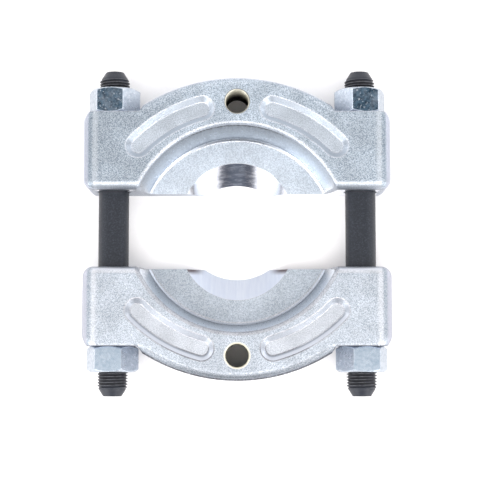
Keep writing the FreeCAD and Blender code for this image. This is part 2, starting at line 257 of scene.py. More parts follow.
class Paint:
    """A material under way: its graph, its Object coordinates and its surface shader."""

    def __init__(self, name: str, metallic: float, roughness: float) -> None:
        """Start a material with one principled shader.

        Args:
            name: the material's name.
            metallic: the shader's metallic value.
            roughness: the shader's roughness where nothing varies it.
        """
        self.material = bpy.data.materials.new(name)
        self.material.use_nodes = True
        self.material.node_tree.nodes.clear()
        self.graph = Graph(self.material.node_tree)
        coordinates = self.graph.add("ShaderNodeTexCoord").outputs
        self.place = coordinates["Object"]
        self.normal = coordinates["Normal"]
        feeds = {"Metallic": metallic, "Roughness": roughness}
        self.shader = self.graph.add("ShaderNodeBsdfPrincipled", feeds)
        self.graph.add("ShaderNodeOutputMaterial", {"Surface": self.shader.outputs[0]})

    def stretched(self, x: float, y: float, z: float) -> Socket:
        """Object coordinates scaled along each axis, for marks that run one way."""
        feeds = {"Vector": self.place, "Scale": (x, y, z)}
        return self.graph.add("ShaderNodeMapping", feeds).outputs[0]

    def axes(self) -> tuple[Socket, Socket, Socket]:
        """The three Object coordinates, one by one."""
        split = self.graph.add("ShaderNodeSeparateXYZ", {0: self.place})
        return split.outputs[0], split.outputs[1], split.outputs[2]

    def off_middle(self) -> Socket:
        """The distance to the left or right of the separator's middle."""
        return self.graph.math("ABSOLUTE", self.axes()[0])

    def by_jaw(self, lower: float = 0.0, upper: float = 1.0) -> Socket:
        """The lower jaw's value and the upper jaw's, blended over the opening between them."""
        return self.graph.ramp(self.axes()[1], -OPENING_BLEND, OPENING_BLEND, lower, upper)

    def upright(self) -> Socket:
        """How far the surface faces the jaws' front, from -1 to 1."""
        return self.graph.add("ShaderNodeSeparateXYZ", {0: self.normal}).outputs[2]

    def lee(self) -> Socket:
        """How far the surface is turned to the upper jaw's end, which gets little light, from 0 to 1."""
        split = self.graph.add("ShaderNodeSeparateXYZ", {0: self.normal})
        return self.graph.ramp(split.outputs[1], 0.05, 0.45)

    def toned(self, colour: object, tones: Tones, tint: Colour = (1.0, 1.0, 1.0)) -> Socket:
        """Paint light and shade over the separator: lighten or darken a colour by place, the lower jaw
        against the upper and the upper jaw's middle against its sides, as the light falls on them.

        Args:
            colour: the colour to change.
            tones: its share over the lower jaw and at the upper jaw's middle, left and right.
            tint: the lower jaw's own tint.

        Returns:
            The changed colour.
        """
        g = self.graph
        lower, middle, left, right = tones
        side = g.ramp(self.axes()[0], -SIDE_BLEND, SIDE_BLEND, left, right)
        outward = g.ramp(self.off_middle(), *MIDDLE_BLEND)
        upper = g.plus(middle, g.times(outward, g.minus(side, middle)))
        blend = self.by_jaw()
        tone = g.plus(lower, g.times(blend, g.minus(upper, lower)))
        tinted = g.mix(1.0, colour, g.mix(blend, tint, (1.0, 1.0, 1.0)), "MULTIPLY")
        return g.mix(1.0, tinted, tone, "MULTIPLY")

    def relief(self, *layers: tuple[object, float, float]) -> None:
        """Lay bump layers over each other.

        Args:
            layers: for each, its height, its depth in metres and its strength.
        """
        normal = None
        for height, depth, strength in layers:
            feeds = {"Height": height, "Distance": depth, "Strength": strength}
            bump = self.graph.add("ShaderNodeBump", feeds)
            if normal is not None:
                self.graph.feed(bump.inputs["Normal"], normal)
            normal = bump.outputs[0]
        self.graph.feed(self.shader.inputs["Normal"], normal)

    def wear(self, **feeds: object) -> None:
        """Feed the shader's inputs, named with underscores for spaces."""
        for name, value in feeds.items():
            self.graph.feed(self.shader.inputs[name.replace("_", " ").title()], value)


@dataclass(frozen=True)
class ForgedPlating:
    """Zinc plating over a shot blasted forging: a grainy, bluish grey metal."""

    name: str = "forged_zinc"
    dark: Colour = (0.19, 0.235, 0.28)
    light: Colour = (0.48, 0.54, 0.60)
    glint: Colour = (0.76, 0.79, 0.82)
    # painted reflection: the smooth, lavender tone of steep flanks and of the ears' ends
    side: Colour = (0.40, 0.42, 0.48)
    band: float = 0.85
    grain: float = 0.52 * MM
    cloud: float = 13 * MM
    relief: float = 0.12 * MM
    range: Span = (0.40, 0.60)
    clouds: Span = (0.92, 1.08)
    # painted light and shade by place: the lower jaw's share and the upper jaw's middle, left and right
    tones: Tones = (1.08, 1.12, 0.90, 1.0)
    tint: Colour = (1.035, 1.0, 0.985)
    # painted light: how much lighter the lower jaw's darkest grain is
    calm: float = 0.22
    flank: float = 0.55
    # painted shade: the near-black of the lower crown's painted outline and of the darker band inside it, and
    # its strength
    scale: Colour = (0.018, 0.022, 0.030)
    scaled: float = 0.95
    steep: Span = (0.25, 0.85)
    crown_end: Span = (-63 * MM, -60 * MM)
    crown_top: Span = (24.5 * MM, 26 * MM)
    crown_line: Band = (0.08, 0.22, 0.52, 0.67)
    crown_dull: Span = (0.965, 0.999)
    ear_side: Span = (76.6 * MM, 78.0 * MM)
    # a painted highlight strip and a painted shade line on the ears' ends, where a ridge would catch and lose
    # the light
    ear_shine: Band = (71.5 * MM, 73.6 * MM, 74.4 * MM, 75.6 * MM)
    ear_crease: Band = (75.0 * MM, 76.2 * MM, 77.0 * MM, 78.0 * MM)
    glint_noise: Span = (0.56, 0.70)
    pit_noise: Span = (0.30, 0.44)
    cloud_noise: Span = (0.34, 0.66)
    ragged_noise: Span = (0.40, 0.52)
    speckle: float = 0.55
    ear_glint: float = 0.3
    ear_fold: float = 0.35
    crown_dulled: float = 0.42

    def walled(self, paint: Paint, plain: object) -> Socket:
        """Give steep walls a smooth, lavender tone that paints the sky's reflection on them, and paint shade
        on the lower crown's rounding: a dark, ragged outline and a darker band inside it.

        Args:
            paint: the material under way.
            plain: the colour without walls.

        Returns:
            The colour with them.
        """
        g = paint.graph
        _, y, z = paint.axes()
        tilt = g.math("ABSOLUTE", paint.upright())
        sided = g.mix(g.ramp(tilt, *self.steep, self.flank, 0.0), plain, self.side)
        outer = g.times(g.ramp(y, *self.crown_end, 1.0, 0.0), g.ramp(z, *self.crown_top))
        ragged = g.ramp(g.noise(paint.place, 2 * self.grain, 3.0, 0.65), *self.ragged_noise, 0.45, 1.0)
        line = g.times(g.strip(tilt, self.crown_line, self.scaled), ragged)
        painted_darker = g.ramp(tilt, *self.crown_dull, self.crown_dulled, 0.0)
        return g.mix(g.times(outer, g.math("MAXIMUM", line, painted_darker)), sided, self.scale)

    def material(self) -> bpy.types.Material:
        """Build the finish: blasted grain, cloudy plating and small bright glints, with smoother flanks in a
        painted reflection tone, a painted highlight and a painted shade line on the ears' ends, and light and
        shade painted by place.

        Returns:
            The material.
        """
        paint = Paint(self.name, 0.9, 0.5)
        g = paint.graph
        grain = g.noise(paint.place, self.grain, 2.0, 0.65)
        pits = g.noise(paint.place, self.grain * 0.6, 1.0, 0.5)
        cloud = g.noise(paint.place, self.cloud, 2.0, 0.5)
        softer = paint.by_jaw(self.calm, 0.0)
        base = g.mix(g.ramp(grain, *self.range, softer), self.dark, self.light)
        glints = g.mix(g.ramp(pits, *self.glint_noise, 0.0, self.speckle), base, self.glint)
        pitted = g.mix(g.ramp(pits, *self.pit_noise, self.speckle, 0.0), glints, self.dark)
        clouded = g.mix(1.0, pitted, g.ramp(cloud, *self.cloud_noise, *self.clouds), "MULTIPLY")
        across = paint.off_middle()
        ears = g.ramp(across, *self.ear_side, 0.0, self.band)
        ear_highlight_mask = g.strip(across, self.ear_shine, self.ear_glint)
        ear_shade_mask = g.strip(across, self.ear_crease, self.ear_fold)
        ear_painted = g.mix(ear_shade_mask, g.mix(ear_highlight_mask, clouded, self.glint), self.dark)
        plated = self.walled(paint, g.mix(ears, ear_painted, self.side))
        paint.wear(
            base_color=paint.toned(plated, self.tones, self.tint),
            roughness=g.ramp(grain, *MID_NOISE, 0.52, 0.34),
        )
        blasted = (grain, self.relief, 0.7)
        paint.relief((cloud, self.relief * 3, 0.35), blasted, (pits, self.relief * 0.4, 0.6))
        return paint.material


@dataclass(frozen=True)
class SunkPlating(ForgedPlating):
    """The same plating in a shallow pocket, whose walls get a painted highlight above a fine painted shade
    line at their foot.
    """

    # painted highlight and shade on the pocket walls: the light upper wall on each jaw, the dark line at its
    # foot
    brow: Colour = (0.68, 0.73, 0.79)
    upper_side: Colour = (0.55, 0.59, 0.64)
    upper_brow: Colour = (0.50, 0.55, 0.60)
    # painted shade colour for the walls far from the middle; below, where and how strongly the walls are
    # painted darker or lighter by place
    lit: Colour = (0.30, 0.33, 0.37)
    foot: Span = (27.5 * MM, 28.3 * MM)
    dim_place: Span = (38 * MM, 50 * MM)
    lit_place: Span = (30 * MM, 46 * MM)
    wall_tilt: Span = (0.75, 0.93)
    dimming: float = 0.35
    lighting: float = 0.45

    def walled(self, paint: Paint, plain: object) -> Socket:
        """Paint light on the walls that face away from the light, down to a painted shade line at their foot;
        paint the outer walls darker and those nearer the middle lighter.

        Args:
            paint: the material under way.
            plain: the colour without walls.

        Returns:
            The colour with them.
        """
        g = paint.graph
        upper = paint.by_jaw()
        wall = g.ramp(g.math("ABSOLUTE", paint.upright()), *self.wall_tilt, self.band, 0.0)
        low, high = g.mix(upper, self.side, self.upper_side), g.mix(upper, self.brow, self.upper_brow)
        shaded = g.mix(g.ramp(paint.axes()[2], *self.foot), low, high)
        far = paint.off_middle()
        dimmed = g.mix(g.times(wall, g.ramp(far, *self.dim_place, 0.0, self.dimming)), plain, self.lit)
        lit = g.mix(g.times(wall, g.ramp(far, *self.lit_place, self.lighting, 0.0)), dimmed, self.brow)
        return g.mix(g.times(wall, paint.lee()), lit, shaded)


@dataclass(frozen=True)
class SmoothPlating:
    """Zinc plating over a cut face: brighter and finer than the forging, with marks that run one way."""

    name: str
    dark: Colour
    light: Colour
    roughness: float
    grain: float = 0.7 * MM
    stretch: Point = (1.0, 1.0, 1.0)
    depth: float = 0.03 * MM
    # painted light and shade up the dish wall: lighter towards the foot on the upper jaw, towards the top on
    # the lower
    fade: float = 0.0
    spread: float = 0.06
    tones: Tones = (1.0, 1.0, 1.0, 1.0)
    # a ragged dark line just under the upper dish's rim
    nicks: float = 0.0
    # painted reflection: dark bluish streaks across the upper bore's middle, where it reflects the dark flag
    streaks: float = 0.0
    # painted shade: the lower jaw's bore darker than the upper one's
    lower_tone: Colour = (1.0, 1.0, 1.0)
    lower_rougher: float = 0.0
    # painted shade in the lower bore's corners beside the mating face
    lower_corners: float = 0.0
    cloud: float = 7 * MM
    fade_height: Span = (8 * MM, 29 * MM)
    upper_from: Span = (0.0, 9 * MM)
    nick_grain: float = 1.0 * MM
    nick_place: Span = (16 * MM, 34 * MM)
    nick_height: Span = (26.2 * MM, 27.0 * MM)
    nick_colour: Colour = (0.04, 0.045, 0.055)
    streak_place: Span = (8 * MM, 12 * MM)
    streak_colour: Colour = (0.30, 0.34, 0.44)
    corner_place: Span = (16 * MM, 24 * MM)
    corner_depth: Span = (-23.5 * MM, -20.5 * MM)
    corner_colour: Colour = (0.09, 0.06, 0.06)

    def material(self) -> bpy.types.Material:
        """Build the finish: fine grain drawn out along the tool's path, with painted light and shade: a
        gradient up the wall, dark streaks where the upper bore reflects the flag, a darker lower bore with
        shaded corners, and tones by place; and a ragged dark line under the upper rim.

        Returns:
            The material.
        """
        paint = Paint(self.name, 1.0, self.roughness)
        g = paint.graph
        marks = g.noise(paint.stretched(*self.stretch), self.grain, 3.0, 0.6)
        cloud = g.noise(paint.place, self.cloud, 2.0, 0.5)
        tone = g.times(g.ramp(marks, *MID_NOISE), g.ramp(cloud, 0.25, 0.75, 0.55, 1.0))
        _, y, z = paint.axes()
        fade = paint.by_jaw(-0.6 * self.fade, self.fade)
        height = g.ramp(z, *self.fade_height, g.plus(1.0, fade), g.minus(1.0, fade))
        height_shaded = g.mix(1.0, g.mix(tone, self.dark, self.light), height, "MULTIPLY")
        across, on_upper = paint.off_middle(), g.ramp(y, *self.upper_from)
        middle = g.times(g.ramp(across, *self.nick_place, self.nicks, 0.0), on_upper)
        ragged = g.ramp(g.noise(paint.place, self.nick_grain, 3.0, 0.6), 0.45, 0.52)
        under = g.times(g.ramp(z, *self.nick_height), ragged)
        rim_darkened = g.mix(g.times(middle, under), height_shaded, self.nick_colour)
        along = g.noise(paint.stretched(0.25, 1.2, 1.2), self.grain, 3.0, 0.6)
        centre = g.times(g.ramp(across, *self.streak_place, self.streaks, 0.0), on_upper)
        reflection_streaked = g.mix(g.times(centre, g.ramp(along, 0.38, 0.60)), rim_darkened, self.streak_colour)
        on_lower = paint.by_jaw(1.0, 0.0)
        toned = g.mix(on_lower, reflection_streaked, self.lower_tone, "MULTIPLY")
        mouth = g.ramp(y, *self.corner_depth, 0.0, self.lower_corners)
        corner = g.times(on_lower, g.times(mouth, g.ramp(across, *self.corner_place)))
        # painted shade in the lower bore's corners
        cut = g.mix(corner, toned, self.corner_colour)
        rough = g.ramp(marks, *MID_NOISE, self.roughness + self.spread, self.roughness - self.spread)
        paint.wear(
            base_color=paint.toned(cut, self.tones),
            roughness=g.plus(rough, g.times(on_lower, self.lower_rougher)),
        )
        paint.relief((marks, self.depth, 0.6), (cloud, self.depth * 4, 0.3))
        return paint.material


@dataclass(frozen=True)
class StudBlacking:
    """Oiled black oxide on a turned stud, lighter on the tops of the thread and at its tips, partly rubbed
    wear and partly a painted highlight.
    """

    name: str = "black_oxide"
    shank: Colour = (0.002, 0.005, 0.011)
    thread: Colour = (0.006, 0.006, 0.008)
    # lighter colours for the thread tops and tips: partly rubbed wear, partly a painted highlight
    rubbed: Colour = (0.022, 0.027, 0.040)
    crests: Colour = (0.125, 0.130, 0.145)
    threads_from: Span = (36 * MM, 37.5 * MM)
    tip_from: Span = (5.6 * MM, 4.8 * MM)
    tip_rubbed: float = 0.6

    def material(self) -> bpy.types.Material:
        """Build the finish: tone by the distance from the stud's own axis, and fine turning marks.

        Returns:
            The material.
        """
        paint = Paint(self.name, 0.1, 0.46)
        g = paint.graph
        x, y, z = paint.axes()
        across = g.minus(g.math("ABSOLUTE", x), STUD_X)
        height = g.minus(z, STUD_Z)
        radius = g.length(across, height)
        top = g.ramp(radius, STUD_ROOT + 0.2 * MM, STUD_CREST)
        mottle = g.noise(paint.place, 2.2 * MM, 4.0, 0.65)
        streak = g.noise(paint.stretched(0.6, 6.0, 0.6), 1.6 * MM, 3.0, 0.6)
        along = g.math("ABSOLUTE", g.minus(y, STUD_MIDDLE))
        threaded = g.ramp(along, *self.threads_from)
        tip_start, tip_full = (STUD_LENGTH / 2 - reach for reach in self.tip_from)
        tip = g.ramp(along, tip_start, tip_full, 0.0, self.tip_rubbed)
        crests = g.times(g.times(top, threaded), g.ramp(mottle, 0.35, 0.6, 0.35, 1.0))
        plain = g.mix(crests, g.mix(threaded, self.shank, self.thread), self.crests)
        base = g.mix(tip, plain, self.rubbed)
        grain = g.noise(paint.place, 0.8 * MM, 2.0, 0.7)
        speckled = g.plus(g.ramp(streak, 0.40, 0.72, 0.0, 0.25), g.ramp(grain, 0.48, 0.64, 0.0, 0.6))
        mottled = g.mix(speckled, base, self.rubbed)
        paint.wear(
            base_color=mottled,
            roughness=g.ramp(mottle, *MID_NOISE, 0.50, 0.40),
        )
        paint.relief((streak, 0.03 * MM, 0.5), (mottle, 0.04 * MM, 0.4))
        return paint.material


@dataclass(frozen=True)
class NutPlating:
    """Zinc plating on a bright hexagon nut, with a patchy, painted reflection on the flat that faces the
    front and painted shade on the flats turned away from it.
    """

    name: str
    bright: Colour
    dull: Colour
    # painted reflection on the front flat: its dark and light colours and its share
    stain: Colour
    film: Colour
    stained: float
    flecked: float = 0.0
    worn_noise: Span = (0.34, 0.66)
    front_tilt: Span = (0.86, 0.97)
    # painted shade on the flats turned away from the front
    under_tilt: Span = (-0.1, 0.7)
    under_tone: float = 0.66

    def material(self) -> bpy.types.Material:
        """Build the finish: bright plating, with a patchy, painted reflection where the flat faces the front
        and painted shade where the flats turn away from it.

        Returns:
            The material.
        """
        paint = Paint(self.name, 0.92, 0.3)
        g = paint.graph
        mottle = g.noise(paint.place, 1.8 * MM, 5.0, 0.7)
        patch = g.noise(paint.place, 6 * MM, 3.0, 0.6)
        front = g.times(g.ramp(paint.upright(), *self.front_tilt), self.stained)
        amount = g.times(front, g.ramp(patch, 0.25, 0.62, 0.72, 1.0))
        worn = g.ramp(mottle, *self.worn_noise)
        plain = g.mix(worn, self.dull, self.bright)
        under = g.ramp(paint.upright(), *self.under_tilt, self.under_tone, 1.0)
        base = g.mix(1.0, plain, under, "MULTIPLY")
        film = g.mix(worn, self.stain, self.film)
        flecks = g.noise(paint.place, 1.0 * MM, 1.0, 0.5)
        stain = g.mix(g.ramp(flecks, 0.62, 0.72, 0.0, self.flecked), film, self.bright)
        paint.wear(base_color=g.mix(amount, base, stain), roughness=g.ramp(mottle, *MID_NOISE, 0.40, 0.24))
        paint.relief((patch, 0.05 * MM, 0.35), (mottle, 0.02 * MM, 0.5))
        return paint.material


@dataclass(frozen=True)
class TappedWall:
    """The puller hole's thread: pale, slightly yellow at its mouth, partly the metal's own colour and partly
    a painted highlight, and darker further in with painted shade; a painted dark line rings its rim, and the
    lower jaw's lip is painted pale.
    """

    name: str = "tapped_thread"
    mouth: Colour = (0.86, 0.84, 0.72)
    # painted shade deep in the hole
    deep: Colour = (0.012, 0.012, 0.013)
    face: Colour = (0.36, 0.41, 0.46)
    # the lower jaw's lip, painted pale as if lit
    lip: Colour = (0.70, 0.69, 0.63)
    # the painted dark line round the hole's rim: where and how wide
    rim: float = 6.55 * MM
    rim_line: float = 0.1 * MM
    ragged: float = 5 * MM
    # where the painted highlight at the mouth gives way to the painted shade deeper in
    mouth_height: float = 25 * MM
    deep_height: float = 9 * MM

    def material(self) -> bpy.types.Material:
        """Build the finish: painted light and shade by the depth below the jaw's front.

        Returns:
            The material.
        """
        paint = Paint(self.name, 0.7, 0.42)
        g = paint.graph
        x, y, z = paint.axes()
        drop = g.minus(g.math("ABSOLUTE", y), PULLER_Y)
        out = g.length(x, drop)
        wall_noise = g.noise(paint.place, 1.1 * MM, 4.0, 0.65)
        level = g.plus(z, g.times(g.minus(wall_noise, 0.5), self.ragged))
        wall = g.mix(g.ramp(level, self.deep_height, self.mouth_height), self.deep, self.mouth)
        upper = g.ramp(y, -1 * MM, 1 * MM, 0.12, 1.0)
        outlined = g.mix(g.times(g.math("COMPARE", out, self.rim, self.rim_line), upper), wall, self.deep)
        lip = g.mix(upper, self.lip, self.face)
        paint.wear(
            base_color=g.mix(g.math("GREATER_THAN", out, self.rim + self.rim_line), outlined, lip),
            roughness=g.ramp(wall_noise, *MID_NOISE, 0.52, 0.36),
        )
        paint.relief((wall_noise, 0.03 * MM, 0.5))
        return paint.material


@dataclass(frozen=True)
class StudioPaper:
    """The pale sheet that the separator lies on."""

    name: str = "studio_paper"
    colour: Colour = (0.97, 0.97, 0.97)

    def material(self) -> bpy.types.Material:
        """Build the sheet: matt paper with a barely visible tooth.

        Returns:
            The material.
        """
        paint = Paint(self.name, 0.0, 0.9)
        g = paint.graph
        tooth = g.noise(paint.place, 3 * MM, 3.0, 0.6)
        darker = tuple(0.985 * part for part in self.colour)
        paint.wear(base_color=g.mix(g.ramp(tooth, *MID_NOISE), darker, self.colour))
        return paint.material


class GrownShape:
    """A mesh that a geometry node tree makes from its named sizes."""

    def __init__(self, name: str, sizes: dict[str, tuple[str, object]]) -> None:
        """Start a tree with one named input for each size.

        Args:
            name: the tree's name.
            sizes: for each input's name, its kind (Float, Int or Material) and its value.
        """
        self.name = name
        self.tree = bpy.data.node_groups.new(name, "GeometryNodeTree")
        self.values: dict[str, object] = {}
        for label, (kind, value) in sizes.items():
            kind = f"NodeSocket{kind}"
            socket = self.tree.interface.new_socket(name=label, in_out="INPUT", socket_type=kind)
            self.values[socket.identifier] = value
        self.tree.interface.new_socket(name="Geometry", in_out="OUTPUT", socket_type="NodeSocketGeometry")
        self.graph = Graph(self.tree)
        self.sizes = self.graph.add("NodeGroupInput").outputs

    def grid(self, columns: object, rows: object) -> tuple[Socket, Socket, Socket]:
        """Add the flat grid that is rolled up into the shape.

        Args:
            columns: how many steps make one turn.
            rows: how many points lie along the profile.

        Returns:
            The grid, each point's share of a turn, and its row.
        """
        g = self.graph
        feeds = {"Vertices X": g.plus(columns, 1), "Vertices Y": rows}
        grid = g.add("GeometryNodeMeshGrid", feeds).outputs["Mesh"]
        index = g.add("GeometryNodeInputIndex").outputs[0]
        column = g.math("FLOOR", g.math("DIVIDE", g.plus(index, 0.5), rows))
        row = g.minus(index, g.times(column, rows))
        return grid, g.math("DIVIDE", column, columns), row

    def choose(self, which: object, *options: object) -> Socket:
        """Pick one of several values by number.

        Args:
            which: the number, from 0.
            options: the values.

        Returns:
            The value.
        """
        node = self.graph.add("GeometryNodeIndexSwitch", data_type="FLOAT")
        while len(node.index_switch_items) < len(options):
            node.index_switch_items.new()
        self.graph.feed(node.inputs[0], which)
        for place, option in enumerate(options):
            self.graph.feed(node.inputs[place + 1], option)
        return node.outputs[0]

    def pick(self, is_true: object, when_true: object, when_false: object) -> Socket:
        """Pick one of two values.

        Args:
            is_true: 1 for the first and 0 for the second.
            when_true: the first value.
            when_false: the second value.

        Returns:
            The value.
        """
        g = self.graph
        change = g.minus(when_true, when_false)
        return g.plus(when_false, g.times(is_true, change))

    def wind(self, row: object, share: object, low: object, high: object) -> tuple[Socket, Socket, Socket]:
        """Follow a thread's profile along its axis, with four points to a turn.

        Args:
            row: the point's place along the profile.
            share: its share of a turn.
            low: where the thread starts.
            high: where it ends.

        Returns:
            Where the point would lie if the thread ran on, where it lies within the ends, and its radius.
        """
        g, s = self.graph, self.sizes
        cycle = g.math("FLOOR", g.math("DIVIDE", g.plus(row, 0.5), 4))
        step = g.minus(row, g.times(cycle, 4))
        along = g.plus(g.plus(cycle, share), self.choose(step, *PROFILE))
        free = g.plus(g.minus(low, g.times(s["Pitch"], LEAD_IN)), g.times(along, s["Pitch"]))
        held = g.math("MINIMUM", g.math("MAXIMUM", free, low), high)
        radius = self.choose(step, s["Root Radius"], s["Crest Radius"], s["Crest Radius"], s["Root Radius"])
        return free, held, radius

    def roll(self, radius: object, angle: object) -> tuple[Socket, Socket]:
        """Carry a radius round the axis and return its two parts."""
        g = self.graph
        return g.times(radius, g.math("COSINE", angle)), g.times(radius, g.math("SINE", angle))

    def close(self, grid: object, x: object, y: object, z: object) -> None:
        """Place the grid's points, weld what meets and give the mesh its material.

        Args:
            grid: the flat grid.
            x: each point's place along X.
            y: the same along Y.
            z: the same along Z.
        """
        g = self.graph
        position = g.add("ShaderNodeCombineXYZ", {0: x, 1: y, 2: z}).outputs[0]
        placed = g.add("GeometryNodeSetPosition", {"Geometry": grid, "Position": position}).outputs[0]
        welded = g.add("GeometryNodeMergeByDistance", {"Geometry": placed, "Distance": WELD}).outputs[0]
        real = g.add("GeometryNodeRealizeInstances", {"Geometry": welded}).outputs[0]
        feeds = {"Geometry": real, "Material": self.sizes["Finish"]}
        dressed = g.add("GeometryNodeSetMaterial", feeds).outputs[0]
        g.add("NodeGroupOutput", {"Geometry": dressed})

    def mesh(self) -> bpy.types.Mesh:
        """Grow the shape once.

        Returns:
            A plain mesh with welded, outward faces.
        """
        host = bpy.data.objects.new(self.name, bpy.data.meshes.new(self.name))
        bpy.context.scene.collection.objects.link(host)
        modifier = host.modifiers.new(self.name, "NODES")
        modifier.node_group = self.tree
        for identifier, value in self.values.items():
            modifier[identifier] = value
        depsgraph = bpy.context.evaluated_depsgraph_get()
        mesh = bpy.data.meshes.new_from_object(host.evaluated_get(depsgraph), depsgraph=depsgraph)
        host.modifiers.remove(modifier)
        bpy.data.objects.remove(host)
        return mesh


def turned_outward(mesh: bpy.types.Mesh) -> bpy.types.Mesh:
    """Drop faces with no area and turn the rest outwards.

    Args:
        mesh: the mesh to tidy up.

    Returns:
        The same mesh.
    """
    shell = bmesh.new()
    shell.from_mesh(mesh)
    bmesh.ops.remove_doubles(shell, verts=shell.verts, dist=WELD / 2)
    bmesh.ops.dissolve_degenerate(shell, dist=WELD / 20, edges=shell.edges)
    bmesh.ops.recalc_face_normals(shell, faces=shell.faces)
    shell.to_mesh(mesh)
    shell.free()
    return mesh


def softened(
    piece: bpy.types.Object, width: float, angle: float | None, segments: int = 2, finish: int = -1,
) -> None:
    """Round a piece's hard edges a little and shade it smoothly between them.

    Args:
        piece: the object to finish.
        width: how far the rounding reaches from an edge, in metres.
        angle: edges sharper than this many degrees are rounded; without it, an edge's weight decides.
        segments: how many facets the rounding has.
        finish: the material slot of the rounding; -1 takes its neighbours' own.
    """
    mesh = piece.data
    mesh.shade_smooth()
    if width > 0:
        bevel = piece.modifiers.new("eased_edges", "BEVEL")
        bevel.width = width
        bevel.segments = segments
        bevel.limit_method = "WEIGHT" if angle is None else "ANGLE"
        if angle is not None:
            bevel.angle_limit = math.radians(angle)
        bevel.use_clamp_overlap = False
        bevel.material = finish
    weighted = piece.modifiers.new("even_shading", "WEIGHTED_NORMAL")
    weighted.mode = "FACE_AREA_WITH_ANGLE"
    weighted.weight = 60
    weighted.keep_sharp = True
    mesh.set_sharp_from_angle(angle=math.radians(SHARP if width > 0 else angle))
    depsgraph = bpy.context.evaluated_depsgraph_get()
    finished = bpy.data.meshes.new_from_object(piece.evaluated_get(depsgraph), depsgraph=depsgraph)
    piece.modifiers.clear()
    piece.data = finished


def new_piece(name: str, mesh: bpy.types.Mesh, body: str) -> bpy.types.Object:
    """Put a finished mesh in the scene as a piece of a body.

    Args:
        name: the piece's name.
        mesh: its mesh, already in place.
        body: the body it moves with.

    Returns:
        The new object.
    """
    piece = bpy.data.objects.new(name, mesh)
    bpy.context.scene.collection.objects.link(piece)
    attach(piece, body)
    return piece


